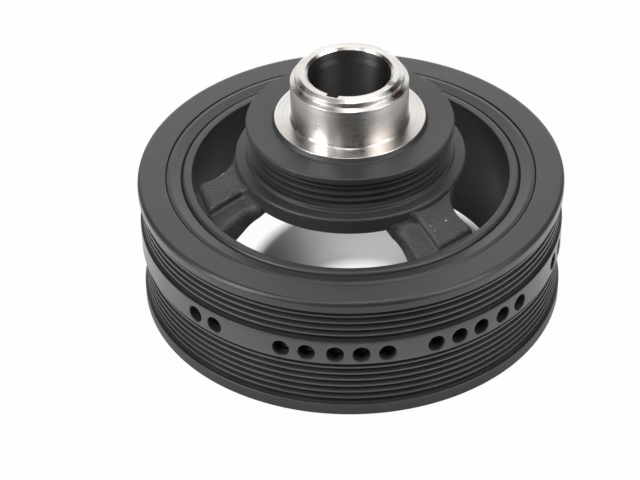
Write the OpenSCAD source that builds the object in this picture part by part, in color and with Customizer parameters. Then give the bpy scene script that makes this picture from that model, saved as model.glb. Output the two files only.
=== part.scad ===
// Harmonic balancer: a cast hub with a small belt pulley and a seal journal, a bonded
// rubber sleeve round its rim, and a turned inertia ring with two sets of belt grooves.
// It lies on the ring's lower face, with the journal up and the shaft's axis on Z.

/* [Inertia ring] */
// Outer diameter over the top flange
ring_d = 200; // [190:1:215]
// Height of the ring; the plain band takes what the flanges and the grooves leave
ring_h = 64.8; // [64:0.2:76]
// How far the plain band and the bottom flange lie inside the top flange
band_inset = 0.2; // [0:0.1:1]
// How far the tips of the belt ribs lie inside the plain band
rib_inset = 1.3; // [0.8:0.1:2]
// Radial thickness of the ring, from the rubber to the top flange
ring_wall = 13.3; // [12:0.1:16]
// Height of the bottom flange
low_flange_h = 6.1; // [3:0.1:7]
// Height of the top flange
top_flange_h = 5.4; // [4:0.1:6]
// Radius of the top flange's outer corner
top_round = 2; // [0.5:0.1:2.5]
// Chamfer on the ring's other corners
ring_chamfer = 0.6; // [0.3:0.1:1]

/* [Belt grooves] */
// Distance from one belt groove to the next
groove_pitch = 3.56; // [3.3:0.02:3.62]
// Depth of a belt groove below the tips of the ribs
groove_depth = 2.5; // [2:0.1:2.8]
// Angle between the two flanks of a groove
groove_angle = 40; // [34:1:44]
// Width of the flat tip of a rib
rib_tip_w = 1; // [0.8:0.05:1.2]
// Number of grooves in the ring's lower set
low_groove_count = 7; // [5:1:7]
// Number of grooves in the ring's upper set
high_groove_count = 5; // [4:1:5]
// Number of grooves in the hub's small pulley
hub_groove_count = 4; // [3:1:5]

/* [Balance holes] */
// Diameter of a balance hole
hole_d = 7.9; // [5:0.1:9]
// Depth of a balance hole at its full diameter
hole_depth = 6; // [3:0.1:8]
// Angle of the drill's point
drill_angle = 118; // [90:1:140]
// Height of the holes above the lower edge of the plain band
hole_rise = 5.6; // [5:0.1:7.5]
// Direction of the line that the holes mirror across
hole_axis = -74.5; // [-180:0.5:180]

/* [Rubber sleeve] */
// Radial thickness of the rubber between the rim and the ring
rubber_w = 7.8; // [5:0.1:9]
// How far the rubber's edges lie below the faces of the ring
rubber_sink = 1.5; // [0.8:0.1:3]
// How far the rubber bulges out between its edges
rubber_bulge = 1.5; // [0.5:0.1:2]

/* [Hub rim] */
// Thickness of the rim at its top
rim_wall = 4.6; // [3:0.1:7]
// How much thicker the rim is at its lower end
rim_draft = 2.2; // [0:0.1:5]
// How far the rim stops above the ring's lower face
rim_lift = 2; // [0.5:0.1:6]
// Radius of the rim's outer top corner
rim_round = 1.6; // [0.5:0.1:2]

/* [Hub drum] */
// Diameter of the drum at its lower edge
drum_d = 108; // [104:1:114]
// Height of the drum's wall
drum_h = 7.8; // [6.5:0.1:12]
// How far the drum's lower edge lies above the ring's top face
drum_lift = 2.7; // [1:0.1:6]
// How much the drum's wall leans in towards its top
drum_draft = 0.3; // [0:0.1:1]
// How far the shoulder rises from its edge to the small pulley
shoulder_rise = 0.5; // [0:0.1:1]
// Radius of the shoulder's edge
shoulder_round = 1; // [0.3:0.1:1.5]

/* [Small pulley] */
// Diameter over the small pulley's flanges
pulley_d = 96.4; // [92:0.2:100]
// How far its rib tips lie inside its flanges
pulley_rib_inset = 1.8; // [1:0.1:2.2]
// Height of its lower flange above the shoulder
pulley_foot_h = 1.6; // [1:0.1:3]
// Height of its upper flange
pulley_flange_h = 3.1; // [2:0.1:5]

/* [Snout] */
// Height of the whole part; the seal journal takes what the rest of the snout leaves
overall_h = 119.5; // [112:0.5:132]
// Diameter of the machined boss at the foot of the journal
boss_d = 69.6; // [64:0.2:76]
// Height of the boss above the small pulley's face
boss_h = 2.1; // [1:0.1:4]
// How far the boss's side spreads towards its foot
boss_spread = 1.3; // [0.5:0.1:2]
// Diameter of the seal journal
seal_d = 54.4; // [53:0.2:58]
// Radius of the fillet at the foot of the journal
seal_fillet = 1.2; // [0.5:0.1:2]
// Length of the seal's lead-in cone
lead_h = 1.1; // [0.6:0.1:2]
// Diameter of the neck above the cone
neck_d = 50; // [48:0.2:52]
// Length of the neck
neck_h = 2.2; // [1:0.1:4]
// Height of the end chamfer
lip_h = 0.9; // [0.5:0.1:1.5]
// Diameter of the flat end face
lip_d = 46; // [44.5:0.1:47.5]

/* [Bore] */
// Diameter of the crankshaft bore
bore_d = 37.5; // [35:0.1:38]
// Diameter of the relieved mouth of the bore
relief_d = 38.4; // [38.1:0.1:39]
// Depth of the relieved mouth
relief_depth = 6.3; // [4:0.1:12]
// Diameter of the bore's end chamfer at the face
mouth_d = 39.8; // [39.2:0.1:41]
// Depth of the end chamfer
mouth_depth = 1.7; // [0.5:0.1:3]
// Width of the keyway
key_w = 5.2; // [4:0.1:8]
// Depth of the keyway below the bore
key_depth = 3.4; // [2:0.1:4]
// Direction of the keyway
key_a = -111.5; // [-180:0.5:180]
// Outer diameter of the sleeve below the drum
sleeve_d = 62; // [58:0.5:66]
// Length of the sleeve below the drum
sleeve_len = 15.5; // [8:0.1:20]
// Diameter of the seat for the bolt's washer
seat_d = 50; // [45:0.5:54]
// Depth of the washer's seat
seat_depth = 3; // [1:0.1:6]

/* [Spokes] */
// Direction of the middle of the window between the two stepped spokes
window_a = -105.5; // [-180:0.5:180]
// Angle from that direction to the middle of each stepped spoke
spoke_a = 56.9; // [54:0.1:60]
// Width of a spoke's raised pad at its outer end
pad_w = 20.7; // [15:0.1:23]
// Width of the step beside the pad of a stepped spoke
step_w = 11.6; // [6:0.2:13]
// How far the step lies below the pad
step_drop = 4; // [3.2:0.1:5]
// Gap between the pad's outer end and the rim
pad_gap = 2.4; // [1.5:0.1:4]
// Depth of that gap below the pad
gap_depth = 3; // [1:0.1:3.6]
// Radius of the pad's edge at the gap
pad_round = 2.2; // [0.6:0.1:2.6]
// Height of the pad above the drum's lower edge, at the drum
pad_rise = 4.5; // [2:0.1:6]
// How far in under the drum's edge a spoke's underside starts
under_reach = 4.7; // [3:0.1:8]
// How far outside the drum the underside has its knee
knee_gap = 6; // [3:0.1:10]
// Depth of a spoke at the knee, from the top of its pad
knee_h = 15.6; // [10:0.1:18]
// Depth of a spoke at the rim, from the ring's top face
spoke_tip_h = 20; // [14:0.1:26]
// Radius of the cast corners where the spokes' tops meet the drum
foot_round = 1.6; // [0.8:0.1:2]
// Radius that blends a plain flank into the drum
flank_r = 14; // [8:0.5:16]
// Radius that blends the flanks on the stepped side into the drum
step_r = 6; // [4:0.5:8]

/* [Hidden] */
$fn = 128;

// Overrun of every cut, and the overlap of bodies that are one casting
cut_over = 1;
weld = 0.5;
// How far blends cut into the faces that they join, so that they cross and don't just touch
blend_lap = 0.02;
foot_lap = 0.15;
// Small chamfer where machined corners meet
edge_c = 0.4;
// Leg of the fillet between the sleeve and the underside of the drum
web_fillet = 4;
// Segments in each rounded corner and along the rubber's bulge
round_steps = 4;
bulge_steps = 10;
// Where the rubber's bulge peaks, as a power of its width
bulge_share = 1.6;
// Facets of a drilled hole
hole_fn = 32;
// Angles of the balance holes from the line that they mirror across
hole_angles = [6.5, 13.25, 20, 27.45, 34.25, 54.1, 60.9];

// Radii of the ring, the rubber and the rim
ring_r = ring_d / 2;
band_r = ring_r - band_inset;
rib_r = band_r - rib_inset;
ring_in_r = ring_r - ring_wall;
rim_r = ring_in_r - rubber_w;
rim_in_r = rim_r - rim_wall;

// Width of a set of grooves, from flange to flange
function set_w(count) = count * groove_pitch - rib_tip_w;

// Heights up the ring
low_set_z = low_flange_h;
band_z = low_set_z + set_w(low_groove_count);
ring_top_z = ring_h;
top_flange_z = ring_top_z - top_flange_h;
high_set_z = top_flange_z - set_w(high_groove_count);

// Heights up the hub
drum_z = ring_top_z + drum_lift;
drum_top_z = drum_z + drum_h;
shoulder_z = drum_top_z + shoulder_rise;
hub_set_z = shoulder_z + pulley_foot_h;
pulley_flange_z = hub_set_z + set_w(hub_groove_count);
disc_z = pulley_flange_z + pulley_flange_h;
boss_z = disc_z + boss_h;
top_z = overall_h;
lip_z = top_z - lip_h;
neck_z = lip_z - neck_h;
lead_z = neck_z - lead_h;
sleeve_z = drum_z - sleeve_len;

// Radii of the hub
drum_r = drum_d / 2;
shoulder_r = drum_r - drum_draft;
pulley_r = pulley_d / 2;
boss_r = boss_d / 2;
seal_r = seal_d / 2;
neck_r = neck_d / 2;
sleeve_r = sleeve_d / 2;

// Point at radius r on the straight line through the section's points p and q
function on_line(r, p, q) = [r, p[1] + (q[1] - p[1]) * (r - p[0]) / (q[0] - p[0])];

// Points of a spoke's section: its pad's top line, then its underside from the drum out
pad_foot = [drum_r, drum_z + pad_rise];
pad_tip = [rim_in_r, ring_top_z];
pad_slope = atan((pad_foot[1] - pad_tip[1]) / (pad_tip[0] - pad_foot[0]));
knee_r = drum_r + knee_gap;
knee = [knee_r, on_line(knee_r, pad_foot, pad_tip)[1] - knee_h];
under_foot = [drum_r - under_reach, drum_z];
under_tip = [rim_in_r, ring_top_z - spoke_tip_h];
root_r = under_foot[0] - weld * (knee[0] - under_foot[0]) / (under_foot[1] - knee[1]);
rim_mid_r = rim_in_r + rim_wall / 2;

// Angles of a pad and of a step, from their widths at the pad's outer end
pad_end_r = rim_in_r - pad_gap;
pad_a = 2 * asin(pad_w / 2 / pad_end_r);
step_a = 2 * asin(step_w / 2 / pad_end_r);

// Points of a round corner about the centre c, from angle a to angle b
function corner(c, r, a, b) = [
    for (i = [0 : round_steps])
        let (t = a + (b - a) * i / round_steps)
        [c[0] + r * cos(t), c[1] + r * sin(t)]
];

// Section of a set of belt grooves whose ribs end at radius r, upwards from height z
function grooves(r, z, count) =
    let (
        flank = groove_depth * tan(groove_angle / 2),
        mouth = groove_pitch - rib_tip_w
    )
    [
        for (i = [0 : count - 1])
            for (p = [[0, 0], [groove_depth, flank], [groove_depth, mouth - flank], [0, mouth]])
                [r - p[0], z + i * groove_pitch + p[1]]
    ];

// The hub's turned section, from the end of the sleeve up to the end face
module hub_section() {
    polygon(concat(
        [
            [0, sleeve_z],
            [sleeve_r - ring_chamfer, sleeve_z],
            [sleeve_r, sleeve_z + ring_chamfer],
            [sleeve_r, drum_z - web_fillet],
            [sleeve_r + web_fillet, drum_z],
            [drum_r - edge_c, drum_z],
            [drum_r, drum_z + edge_c]
        ],
        corner([shoulder_r - shoulder_round, drum_top_z - shoulder_round], shoulder_round, 0, 90),
        [
            [pulley_r + edge_c, shoulder_z],
            [pulley_r, shoulder_z + edge_c],
            [pulley_r, hub_set_z]
        ],
        grooves(pulley_r - pulley_rib_inset, hub_set_z, hub_groove_count),
        [
            [pulley_r, pulley_flange_z],
            [pulley_r, disc_z - edge_c],
            [pulley_r - edge_c, disc_z],
            [boss_r + boss_spread, disc_z],
            [boss_r, boss_z]
        ],
        corner([seal_r + seal_fillet, boss_z + seal_fillet], seal_fillet, 270, 180),
        [
            [seal_r, lead_z],
            [neck_r, neck_z],
            [neck_r, lip_z],
            [lip_d / 2, top_z],
            [0, top_z]
        ]
    ));
}

// The rim's section, thicker towards its lower end
module rim_section() {
    polygon(concat(
        [
            [rim_in_r - rim_draft + edge_c, rim_lift],
            [rim_r - edge_c, rim_lift],
            [rim_r, rim_lift + edge_c]
        ],
        corner([rim_r - rim_round, ring_top_z - rim_round], rim_round, 0, 90),
        [
            [rim_in_r + edge_c, ring_top_z],
            [rim_in_r, ring_top_z - edge_c],
            [rim_in_r - rim_draft, rim_lift + edge_c]
        ]
    ));
}

// Unit vector in the direction a
function dir(a) = [cos(a), sin(a)];

// Distance from the axis to the centre of a blend of radius r beside the drum
function blend_reach(r) = drum_r + r - blend_lap;

// Angle between a flank and the centre of its blend of radius r
function blend_turn(r) = asin((r - blend_lap) / blend_reach(r));

// Point at radius r and depth drop below the pad's top line
function below_pad(r, drop) = on_line(r, pad_foot, pad_tip) - [0, drop];

// Section of the cast corner where a level of a spoke, drop below its pad, meets the drum
function foot(drop) =
    let (c = below_pad(drum_r + foot_round - foot_lap, drop - foot_round / cos(pad_slope)))
    concat(corner(c, foot_round, 270 - pad_slope, 180), [[root_r, c[1]]]);

// Section of the pad's rounded edge at the gap
function pad_edge() =
    corner(below_pad(pad_end_r - pad_round, pad_round / cos(pad_slope)), pad_round, 0,
        90 - pad_slope);

// Section of a spoke: the knee in its underside, the gap beside the rim, and its pad
module spoke_section() {
    polygon(concat(
        [
            [root_r, drum_z + weld],
            knee,
            on_line(rim_mid_r, knee, under_tip),
            below_pad(rim_mid_r, gap_depth),
            below_pad(pad_end_r, gap_depth)
        ],
        pad_edge(),
        foot(0)
    ));
}

// Section of the space over a spoke's step
module step_section() {
    polygon(concat(
        [
            [ring_r, top_z],
            below_pad(ring_r, step_drop)
        ],
        foot(step_drop),
        [[root_r, top_z]]
    ));
}

// Plan of a spoke from angle a to angle b, blended into the drum beside both flanks
module spoke_plan(a, b, blend_a, blend_b) {
    low = a - blend_turn(blend_a);
    high = b + blend_turn(blend_b);
    difference() {
        polygon([
            sleeve_r * dir(low),
            blend_reach(blend_a) * dir(low),
            blend_reach(blend_a) * cos(low - a) * dir(a),
            ring_r * dir(a),
            ring_r * dir(b),
            blend_reach(blend_b) * cos(high - b) * dir(b),
            blend_reach(blend_b) * dir(high),
            sleeve_r * dir(high)
        ]);
        translate(blend_reach(blend_a) * dir(low))
            circle(r = blend_a);
        translate(blend_reach(blend_b) * dir(high))
            circle(r = blend_b);
    }
}

// A spoke in its turned section, as high as its pad from flank to flank
module spoke_body(a, b, blend_a, blend_b) {
    intersection() {
        linear_extrude(height = top_z)
            spoke_plan(a, b, blend_a, blend_b);
        rotate_extrude()
            spoke_section();
    }
}

// Plan of the step beside a pad's flank at angle near, as far as the angle edge
module step_plan(near, edge) {
    low = near - blend_turn(step_r);
    polygon([
        sleeve_r * dir(low),
        blend_reach(step_r) * dir(low),
        blend_reach(step_r) * cos(low - near) * dir(near),
        ring_r * dir(near),
        ring_r * dir(edge),
        sleeve_r * dir(edge)
    ]);
    translate(blend_reach(step_r) * dir(low))
        circle(r = step_r);
}

// The spoke opposite the stepped window, with two plain flanks
module plain_spoke() {
    spoke_body(-pad_a / 2, pad_a / 2, flank_r, flank_r);
}

// A spoke with a step beside its pad, on the side of the window
module stepped_spoke() {
    near = spoke_a - pad_a / 2;
    far = spoke_a + pad_a / 2;
    edge = near - step_a;
    difference() {
        spoke_body(edge, far, step_r, flank_r);
        intersection() {
            linear_extrude(height = top_z)
                step_plan(near, edge - step_a);
            rotate_extrude()
                step_section();
        }
    }
}

// The three spokes, mirrored across the middle of the stepped window
module spokes() {
    rotate([0, 0, window_a]) {
        stepped_spoke();
        mirror([0, 1, 0])
            stepped_spoke();
        rotate([0, 0, 180])
            plain_spoke();
    }
}

// Everything cut along the hub's axis
module hub_cuts() {
    translate([0, 0, sleeve_z - cut_over])
        cylinder(d = bore_d, h = top_z - sleeve_z + 2 * cut_over);
    translate([0, 0, top_z - relief_depth])
        cylinder(d = relief_d, h = relief_depth + cut_over);
    translate([0, 0, top_z - mouth_depth])
        cylinder(d1 = relief_d, d2 = mouth_d, h = mouth_depth);
    translate([0, 0, sleeve_z - cut_over])
        cylinder(d = seat_d, h = seat_depth + cut_over);
    rotate([0, 0, key_a])
        translate([0, -key_w / 2, sleeve_z - cut_over])
            cube([bore_d / 2 + key_depth, key_w, top_z - sleeve_z + 2 * cut_over]);
}

// The cast and turned hub, in one piece from the rim to the end of the snout
module hub() {
    color("#5a5b5c")
        difference() {
            union() {
                rotate_extrude()
                    hub_section();
                rotate_extrude()
                    rim_section();
                spokes();
            }
            hub_cuts();
        }
}

// The rubber bonded between the rim and the ring, bulging at both ends
module rubber_sleeve() {
    color("#3c3d3d")
        rotate_extrude()
            polygon([
                for (end = [0, 1])
                    for (i = [0 : bulge_steps])
                        let (
                            t = (end == 0 ? i : bulge_steps - i) / bulge_steps,
                            rise = rubber_bulge * sin(180 * pow(t, bulge_share)),
                            depth = rubber_sink - rise
                        )
                        [rim_r + t * rubber_w, end == 0 ? depth + rim_lift : ring_top_z - depth]
            ]);
}

// The ring's section, from its lower face up to its top face
module ring_section() {
    polygon(concat(
        [
            [ring_in_r, ring_chamfer],
            [ring_in_r + ring_chamfer, 0],
            [band_r - ring_chamfer, 0],
            [band_r, ring_chamfer],
            [band_r, low_set_z]
        ],
        grooves(rib_r, low_set_z, low_groove_count),
        [
            [band_r, band_z],
            [band_r, high_set_z]
        ],
        grooves(rib_r, high_set_z, high_groove_count),
        [[ring_r, top_flange_z]],
        corner([ring_r - top_round, ring_top_z - top_round], top_round, 0, 90),
        [
            [ring_in_r + ring_chamfer, ring_top_z],
            [ring_in_r, ring_top_z - ring_chamfer]
        ]
    ));
}

// One drilled balance hole, from outside the band to the point of the drill
module balance_hole() {
    point = hole_d / 2 / tan(drill_angle / 2);
    translate([band_r - hole_depth, 0, band_z + hole_rise])
        rotate([0, 90, 0]) {
            cylinder(d = hole_d, h = hole_depth + cut_over, $fn = hole_fn);
            translate([0, 0, -point])
                cylinder(d1 = 0, d2 = hole_d, h = point, $fn = hole_fn);
        }
}

// The turned inertia ring with its belt grooves and its balance holes
module inertia_ring() {
    color("#56585a")
        difference() {
            rotate_extrude()
                ring_section();
            for (side = [-1, 1])
                for (a = hole_angles)
                    rotate([0, 0, hole_axis + side * a])
                        balance_hole();
        }
}

hub();
rubber_sleeve();
inertia_ring();
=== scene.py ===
import math

import bmesh
import bpy
import numpy as np
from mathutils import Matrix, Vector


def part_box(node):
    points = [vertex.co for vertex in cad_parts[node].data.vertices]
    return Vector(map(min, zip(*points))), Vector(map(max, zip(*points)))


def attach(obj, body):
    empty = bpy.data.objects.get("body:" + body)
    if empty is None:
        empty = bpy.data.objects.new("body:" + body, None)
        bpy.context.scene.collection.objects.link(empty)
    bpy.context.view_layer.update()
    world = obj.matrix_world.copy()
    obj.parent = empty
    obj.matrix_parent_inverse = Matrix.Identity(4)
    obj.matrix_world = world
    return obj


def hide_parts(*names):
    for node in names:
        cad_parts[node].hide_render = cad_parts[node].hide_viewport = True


bl_info = {
    "name": "Harmonic Balancer",
    "version": (1, 0, 0),
    "blender": (4, 5, 0),
    "location": "3D View > Sidebar > Balancer",
    "description": "Dresses a crankshaft harmonic balancer and sets its studio",
    "category": "Object",
}

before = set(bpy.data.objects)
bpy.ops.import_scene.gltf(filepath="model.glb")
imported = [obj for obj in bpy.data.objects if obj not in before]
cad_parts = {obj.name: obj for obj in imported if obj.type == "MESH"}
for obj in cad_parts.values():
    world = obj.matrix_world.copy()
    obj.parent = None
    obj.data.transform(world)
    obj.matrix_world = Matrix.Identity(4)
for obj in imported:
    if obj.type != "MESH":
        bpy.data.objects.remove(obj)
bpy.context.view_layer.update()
RING_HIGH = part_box("inertia_ring")[1]
HUB_LOW, HUB_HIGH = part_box("hub")

MM = 0.001

# Points closer than this are one, and edges sharper than this stay sharp
MERGE = 0.002 * MM
SHARP = math.radians(38)

# Lengths in mm that more than one piece uses: the ring's wall, and the rim's lower end
RING_WALL = 13.3
RIM_LOW = 2.0

# Belt grooves, in mm: depth, flat tip between two of them, rounding at the root; their flank
GROOVE_DEPTH = 2.5
GROOVE_TIP = 1.0
GROOVE_ROOT = 0.3
GROOVE_FLANK = math.radians(20)

# Columns round the axis: of the turned core, and of a plain turned outline
CORE_COLUMNS = 250
TURNED_COLUMNS = 256


# Sizes and finishes that a user would change


class BalancerSizes(bpy.types.PropertyGroup):
    """Lengths of the balancer's dressed pieces"""

    ring_radius: bpy.props.FloatProperty(
        name="Ring Radius",
        description="Radius over the inertia ring's top flange",
        default=RING_HIGH.x,
        unit="LENGTH",
        subtype="DISTANCE",
    )
    ring_height: bpy.props.FloatProperty(
        name="Ring Height",
        description="Height of the inertia ring",
        default=RING_HIGH.z,
        unit="LENGTH",
        subtype="DISTANCE",
    )
    top: bpy.props.FloatProperty(
        name="Overall Height",
        description="Height of the end of the snout above the floor",
        default=HUB_HIGH.z,
        unit="LENGTH",
        subtype="DISTANCE",
    )
    rim_radius: bpy.props.FloatProperty(
        name="Rim Radius",
        description="Outer radius of the hub's rim, where the rubber starts",
        default=HUB_HIGH.x,
        unit="LENGTH",
        subtype="DISTANCE",
    )
    groove_pitch: bpy.props.FloatProperty(
        name="Groove Pitch",
        description="Distance from one belt groove to the next",
        default=3.56 * MM,
        unit="LENGTH",
        subtype="DISTANCE",
    )
    hole_radius: bpy.props.FloatProperty(
        name="Balance Hole Radius",
        description="Radius of the drilled balance holes",
        default=3.95 * MM,
        unit="LENGTH",
        subtype="DISTANCE",
    )
    bore_radius: bpy.props.FloatProperty(
        name="Bore Radius",
        description="Radius of the crankshaft bore",
        default=18.75 * MM,
        unit="LENGTH",
        subtype="DISTANCE",
    )


class BalancerFinish(bpy.types.PropertyGroup):
    """Colours and finishes of the balancer and of its studio"""

    paint: bpy.props.FloatVectorProperty(
        name="Paint",
        description="Colour of the satin paint",
        default=(0.022, 0.0223, 0.0232),
        size=3,
        subtype="COLOR",
    )
    steel: bpy.props.FloatVectorProperty(
        name="Bare Iron",
        description="Colour of the turned bare metal",
        default=(0.66, 0.645, 0.63),
        size=3,
        subtype="COLOR",
    )
    stain: bpy.props.FloatVectorProperty(
        name="Stain",
        description="Colour of the brown stains on the neck and the lip",
        default=(0.20, 0.13, 0.085),
        size=3,
        subtype="COLOR",
    )
    floor: bpy.props.FloatVectorProperty(
        name="Floor",
        description="Colour of the studio floor",
        default=(0.86, 0.86, 0.865),
        size=3,
        subtype="COLOR",
    )


# Meshes worked out with numpy


def grid_faces(rows, columns, close_rows=False, close_columns=False):
    """Quads of a grid of points: corner, next in its row, next row's, and the one below that."""
    i = np.arange(rows if close_rows else rows - 1)[:, None]
    j = np.arange(columns if close_columns else columns - 1)[None, :]
    ni, nj = (i + 1) % rows, (j + 1) % columns
    quad = np.stack(
        [i * columns + j, i * columns + nj, ni * columns + nj, ni * columns + j], -1
    )
    return quad.reshape(-1, 4)


# Beside a rounding: how far off the next point is, in mm, and the most of a side that the
# rounding and that point take
HOLD = 0.08
ROUND_SHARE = 0.45
HOLD_SHARE = 0.05


def rounded(points, radii, steps=4, hold=HOLD * MM):
    """Rounds each corner of closed outlines (..., n, 2) by a circle of its own radius.

    The arc is a rational quadratic curve from tangent point to tangent point: its middle
    weight is the sine of half the corner's angle. A point on each side of it keeps the
    shading of the flat sides flat.
    """
    points = np.asarray(points, float)
    radii = np.broadcast_to(np.asarray(radii, float), points.shape[:-1])
    back = np.roll(points, 1, -2) - points
    ahead = np.roll(points, -1, -2) - points
    length_b = np.linalg.norm(back, axis=-1)
    length_a = np.linalg.norm(ahead, axis=-1)
    b = back / np.maximum(length_b, 1e-9)[..., None]
    a = ahead / np.maximum(length_a, 1e-9)[..., None]
    cos_full = np.clip((a * b).sum(-1), -1, 1)
    half = np.arccos(cos_full) / 2
    reach = radii / np.maximum(np.tan(half), 1e-6)
    shorter = np.minimum(length_a, length_b)
    reach = np.minimum(reach, ROUND_SHARE * shorter)
    guard = np.minimum(hold, HOLD_SHARE * shorter)
    start = points + b * reach[..., None]
    end = points + a * reach[..., None]
    weight = np.sin(half)[..., None, None]
    u = np.linspace(0, 1, steps + 1)[:, None]
    mix = (1 - u) ** 2, 2 * u * (1 - u) * weight, u**2
    arc = (
        mix[0] * start[..., None, :]
        + mix[1] * points[..., None, :]
        + mix[2] * end[..., None, :]
    ) / (mix[0] + mix[1] + mix[2])
    first = start + b * guard[..., None]
    last = end + a * guard[..., None]
    whole = np.concatenate([first[..., None, :], arc, last[..., None, :]], -2)
    return whole.reshape(points.shape[:-2] + (-1, 2))


def outline(corners, steps=4):
    """Closed outline in metres from (radius, height, rounding) rows in millimetres.

    A row with no rounding is kept as one sharp point.
    """
    rows = np.array(corners, float) * MM
    full = rounded(rows[:, :2], rows[:, 2], steps).reshape(len(rows), -1, 2)
    parts = [full[k] if rows[k, 2] > 0 else rows[k : k + 1, :2] for k in range(len(rows))]
    return np.concatenate(parts)


def groove_rows(radius, low, count, pitch, crest=0.25):
    """Corners of belt grooves, with straight flanks, flat tips and rounded edges."""
    flank = GROOVE_DEPTH * math.tan(GROOVE_FLANK)
    mouth = pitch - GROOVE_TIP
    deep = radius - GROOVE_DEPTH
    rows = []
    for k in range(count):
        z = low + k * pitch
        rows += [
            (radius, z, crest),
            (deep, z + flank, GROOVE_ROOT),
            (deep, z + mouth - flank, GROOVE_ROOT),
            (radius, z + mouth, crest),
        ]
    return rows


def turned(profile, angles, radius_at=None, closed=True):
    """An outline turned about Z, on a grid of angles and outline points.

    x = r cos a and y = r sin a. radius_at may give each point another radius.
    """
    r = np.repeat(profile[None, :, 0], len(angles), 0)
    z = np.repeat(profile[None, :, 1], len(angles), 0)
    if radius_at is not None:
        r = radius_at(r, z, angles[:, None])
    a = angles[:, None]
    points = np.stack([r * np.cos(a), r * np.sin(a), z], -1).reshape(-1, 3)
    return points, grid_faces(len(angles), len(profile), True, closed)


def even_angles(count):
    """Evenly spaced angles round the axis."""
    return np.arange(count) * 2 * np.pi / count


def build(name, parts, material, node):
    """One piece that stands for a node, from parts that each hold points and blocks of faces.

    The parts are joined and merged, and the faces are turned outwards and shaded smooth.
    """
    points, faces, base = [], [], 0
    for part_points, *blocks in parts:
        points.append(part_points)
        for block in blocks:
            faces += (block + base).tolist()
        base += len(part_points)
    mesh = bpy.data.meshes.new(name)
    mesh.from_pydata(np.concatenate(points).tolist(), [], faces)
    bm = bmesh.new()
    bm.from_mesh(mesh)
    bmesh.ops.remove_doubles(bm, verts=bm.verts, dist=MERGE)
    bmesh.ops.dissolve_degenerate(bm, edges=bm.edges, dist=MERGE / 20)
    bmesh.ops.recalc_face_normals(bm, faces=bm.faces)
    bm.to_mesh(mesh)
    bm.free()
    mesh.polygons.foreach_set("use_smooth", np.ones(len(mesh.polygons), bool))
    mesh.set_sharp_from_angle(angle=SHARP)
    mesh.materials.append(material)
    piece = bpy.data.objects.new(name, mesh)
    bpy.context.scene.collection.objects.link(piece)
    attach(piece, "root")
    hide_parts(node)
    return piece


# The inertia ring, with balance holes in its plain band

# The holes mirror across one line: its angle, and theirs from it, in degrees
HOLE_AXIS = -74.5
HOLE_OFFSETS = (6.5, 13.25, 20.0, 27.45, 34.25, 54.1, 60.9)
HOLE_ANGLES = np.radians(
    sorted([HOLE_AXIS + k * a for a in HOLE_OFFSETS for k in (-1, 1)])
)
HOLE_DEPTH = 6 * MM
# A hole's square patch: half its width, and its faces across and up
PATCH_HALF = 5.2 * MM
PATCH_SIDE = 10
PATCH_RISE = 8
# Degrees from one column of the ring to the next, between the patches
COLUMN_STEP = 2.3
# From the patch's edge inwards, in mm outside the hole's wall: where the round begins, and the
# steps down the edge break and the wall, with their depths
HOLE_ROUND = 0.9
HOLE_STEPS = ((0.42, 0.0), (0.34, 0.02), (0.12, 0.13), (0.02, 0.34), (0.0, 0.5), (0.0, 3.0))
# The drill's cone: its height as a share of the hole's radius, and the radius of its point
CONE_RISE = 0.6
CONE_POINT = 1e-7
# Belt grooves in the ring's lower and upper set
LOW_GROOVES = 7
HIGH_GROOVES = 5


def ring_angles(radius):
    """Angles of the ring's columns: those of each hole's patch, and those of the gaps between."""
    sides = np.linspace(-PATCH_HALF, PATCH_HALF, PATCH_SIDE + 1)
    steps = np.arcsin(sides / radius)
    patches = HOLE_ANGLES[:, None] + steps[None, :]
    gaps = []
    for k in range(len(patches)):
        low = patches[k, -1]
        high = patches[(k + 1) % len(patches), 0]
        if high < low:
            high += 2 * np.pi
        count = max(2, int(round(math.degrees(high - low) / COLUMN_STEP)) + 1)
        gaps.append(np.linspace(low, high, count))
    return patches, gaps


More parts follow.
